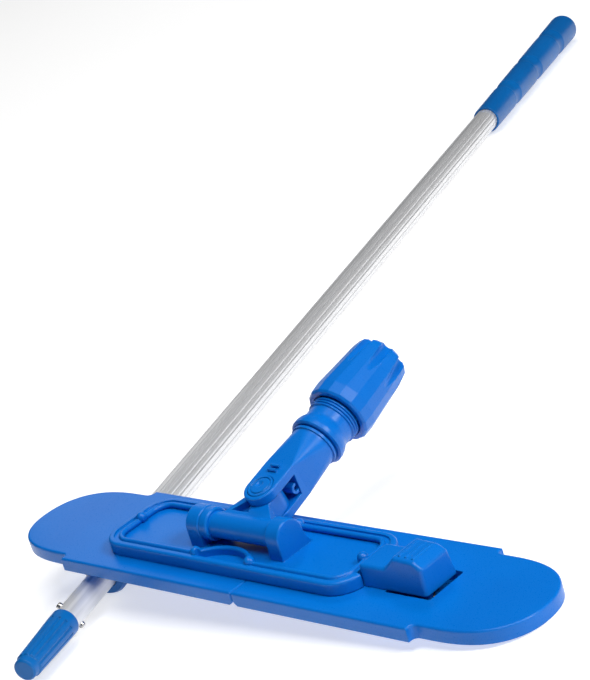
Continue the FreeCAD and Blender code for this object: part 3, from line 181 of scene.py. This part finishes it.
def drawn_metal(name, light, dark, along, rough, streak, metal=1.0, pits=0.0):
    """Drawn metal: fine streaks along one direction, roughness that follows them and small marks."""
    n = Nodes(name)
    place = n.add("ShaderNodeTexCoord").outputs["Object"]
    turn = Vector((0.0, 0.0, 1.0)).rotation_difference(Vector(along)).inverted().to_euler()
    aligned = n.add("ShaderNodeMapping", {"Vector": place, "Rotation": tuple(turn)}).outputs["Vector"]
    scale = (streak, streak, STREAK_ALONG)
    stretched = n.add("ShaderNodeMapping", {"Vector": aligned, "Scale": scale}).outputs["Vector"]
    streaks = n.noise(stretched, 1.0, 4.0, 0.65)
    stains = n.ramp(n.noise(place, STAIN_GRAIN, 3.0), 0.45, 0.75)
    rounded, edge_wear_and_sheen = n.edges(METAL_EDGE)
    base = n.mix(n.ramp(streaks, 0.30, 0.70), dark, light)
    base = n.mix(n.maths("MULTIPLY", stains, 0.15), base, dark)
    # edges painted paler towards the light tone: partly rubbed metal, partly a painted highlight
    base = n.mix(n.maths("MULTIPLY", edge_wear_and_sheen, 0.4), base, light)
    streak_rough = n.ramp(streaks, 0.3, 0.7, rough - 0.06, rough + 0.06)
    roughness = n.maths("ADD", streak_rough, n.maths("MULTIPLY", stains, 0.06))
    normal = n.bump(streaks, STREAK_DEPTH, 0.6, rounded)
    if pits:
        normal = n.bump(n.noise(place, pits, 2.0), PIT_DEPTH, 0.4, normal)
    return n.finish(Base_Color=base, Metallic=metal, Roughness=roughness, Normal=normal)


def joint_axis(name):
    """The direction of a joint's axis in the CAD frame."""
    return next(joint["axis"] for joint in frame["joints"] if joint["name"] == name)


def finishes():
    """Every material slot's material; the drawn metals are streaked along their joint's axis."""
    along = tuple(-c for c in joint_axis("tube_extend"))
    across = joint_axis("cross_tilt")
    tube = (TUBE_LIGHT, TUBE_DARK, along)
    spring = (SPRING_LIGHT, SPRING_DARK, along)
    return {
        "blue_plastic": moulded_plastic("blue_plastic", BLUE, BLUE_DEEP, BLUE_WORN_AND_SHEEN, 0.30, 1600.0),
        "grip_plastic": moulded_plastic("grip_plastic", GRIP_BLUE, GRIP_DEEP, GRIP_WORN_AND_SHEEN, 0.36, 1300.0),
        "tube_aluminium": drawn_metal("tube_aluminium", *tube, 0.34, 420.0, 0.55),
        "inner_aluminium": drawn_metal("inner_aluminium", *tube, 0.42, 380.0, 0.55),
        "steel": drawn_metal("steel", STEEL_LIGHT, STEEL_DARK, across, 0.30, 2200.0, pits=2500.0),
        "spring_steel": drawn_metal("spring_steel", *spring, 0.34, 2600.0, pits=3000.0),
        "natural_plastic": moulded_plastic("natural_plastic", NATURAL, NATURAL_DEEP, NATURAL, 0.45, 1500.0),
    }


def dress_cad_nodes():
    """Gives every CAD node the material of its slot."""
    materials = finishes()
    for part in frame["record"]["subparts"]:
        node = frame["nodes"][part["node"]]
        node.data.materials.clear()
        node.data.materials.append(materials[part["material_slot"]])


def plate_centre():
    """The floor point below the plate's centre."""
    low_left, high_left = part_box("left_wing")
    low_right, high_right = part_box("right_wing")
    x = (low_left.x + high_right.x) / 2
    y = (min(low_left.y, low_right.y) + max(high_left.y, high_right.y)) / 2
    return Vector((x, y, 0.0))


def add_camera(centre):
    """The camera, looking down at the head from its front right."""
    data = bpy.data.cameras.new("camera")
    data.sensor_fit = "HORIZONTAL"
    data.sensor_width = SENSOR_MM
    data.lens = LENS_MM
    data.clip_end = 50.0
    camera = bpy.data.objects.new("camera", data)
    bpy.context.scene.collection.objects.link(camera)
    forward = CAMERA_FORWARD.normalized()
    right = forward.cross(CAMERA_UP).normalized()
    up = right.cross(forward)
    turn = Matrix((right, up, -forward)).transposed().to_4x4()
    camera.matrix_world = Matrix.Translation(centre + CAMERA_OFFSET) @ turn
    bpy.context.scene.camera = camera


def add_floor():
    """A wide pale floor."""
    mesh = bpy.data.meshes.new("floor")
    corners = [(sx * FLOOR_HALF, sy * FLOOR_HALF, 0.0) for sx, sy in ((-1, -1), (1, -1), (1, 1), (-1, 1))]
    mesh.from_pydata(corners, [], [(0, 1, 2, 3)])
    floor = bpy.data.objects.new("floor", mesh)
    bpy.context.scene.collection.objects.link(floor)
    n = Nodes("floor_paint")
    place = n.add("ShaderNodeTexCoord").outputs["Object"]
    roughness = n.ramp(n.noise(place, FLOOR_GRAIN, 3.0), 0.3, 0.7, 0.75, 0.85)
    mesh.materials.append(n.finish(Base_Color=FLOOR_PAINT, Roughness=roughness,
                                   Emission_Color=WHITE, Emission_Strength=FLOOR_GLOW))


def add_light(name, offset, size, power, glossy, target):
    """A soft area light aimed at a point; a light that isn't glossy leaves no reflection."""
    data = bpy.data.lights.new(name, "AREA")
    data.shape = "RECTANGLE"
    data.size, data.size_y = size
    data.energy = power
    light = bpy.data.objects.new(name, data)
    bpy.context.scene.collection.objects.link(light)
    light.visible_camera = False
    light.visible_glossy = glossy
    light.location = target + Vector(offset)
    light.rotation_euler = (-Vector(offset)).to_track_quat("-Z", "Y").to_euler()


def add_room():
    """A room that lights the object faintly, but shows the camera a pale backdrop."""
    world = bpy.data.worlds.new("studio")
    world.use_nodes = True
    tree = world.node_tree
    background = tree.nodes["Background"]
    background.inputs["Color"].default_value = WHITE
    ray = tree.nodes.new("ShaderNodeLightPath")
    strength = tree.nodes.new("ShaderNodeMapRange")
    strength.inputs["To Min"].default_value = ROOM_LIGHT
    strength.inputs["To Max"].default_value = ROOM_SEEN
    tree.links.new(ray.outputs["Is Camera Ray"], strength.inputs["Value"])
    tree.links.new(strength.outputs["Result"], background.inputs["Strength"])
    bpy.context.scene.world = world


def add_studio(centre):
    """The room and the soft studio lights, aimed at the plate."""
    add_room()
    bpy.context.scene.view_settings.view_transform = "Standard"
    for light in LIGHTS:
        add_light(*light, centre)


dress_cad_nodes()
CENTRE = plate_centre()
add_camera(CENTRE)
add_floor()
add_studio(CENTRE)
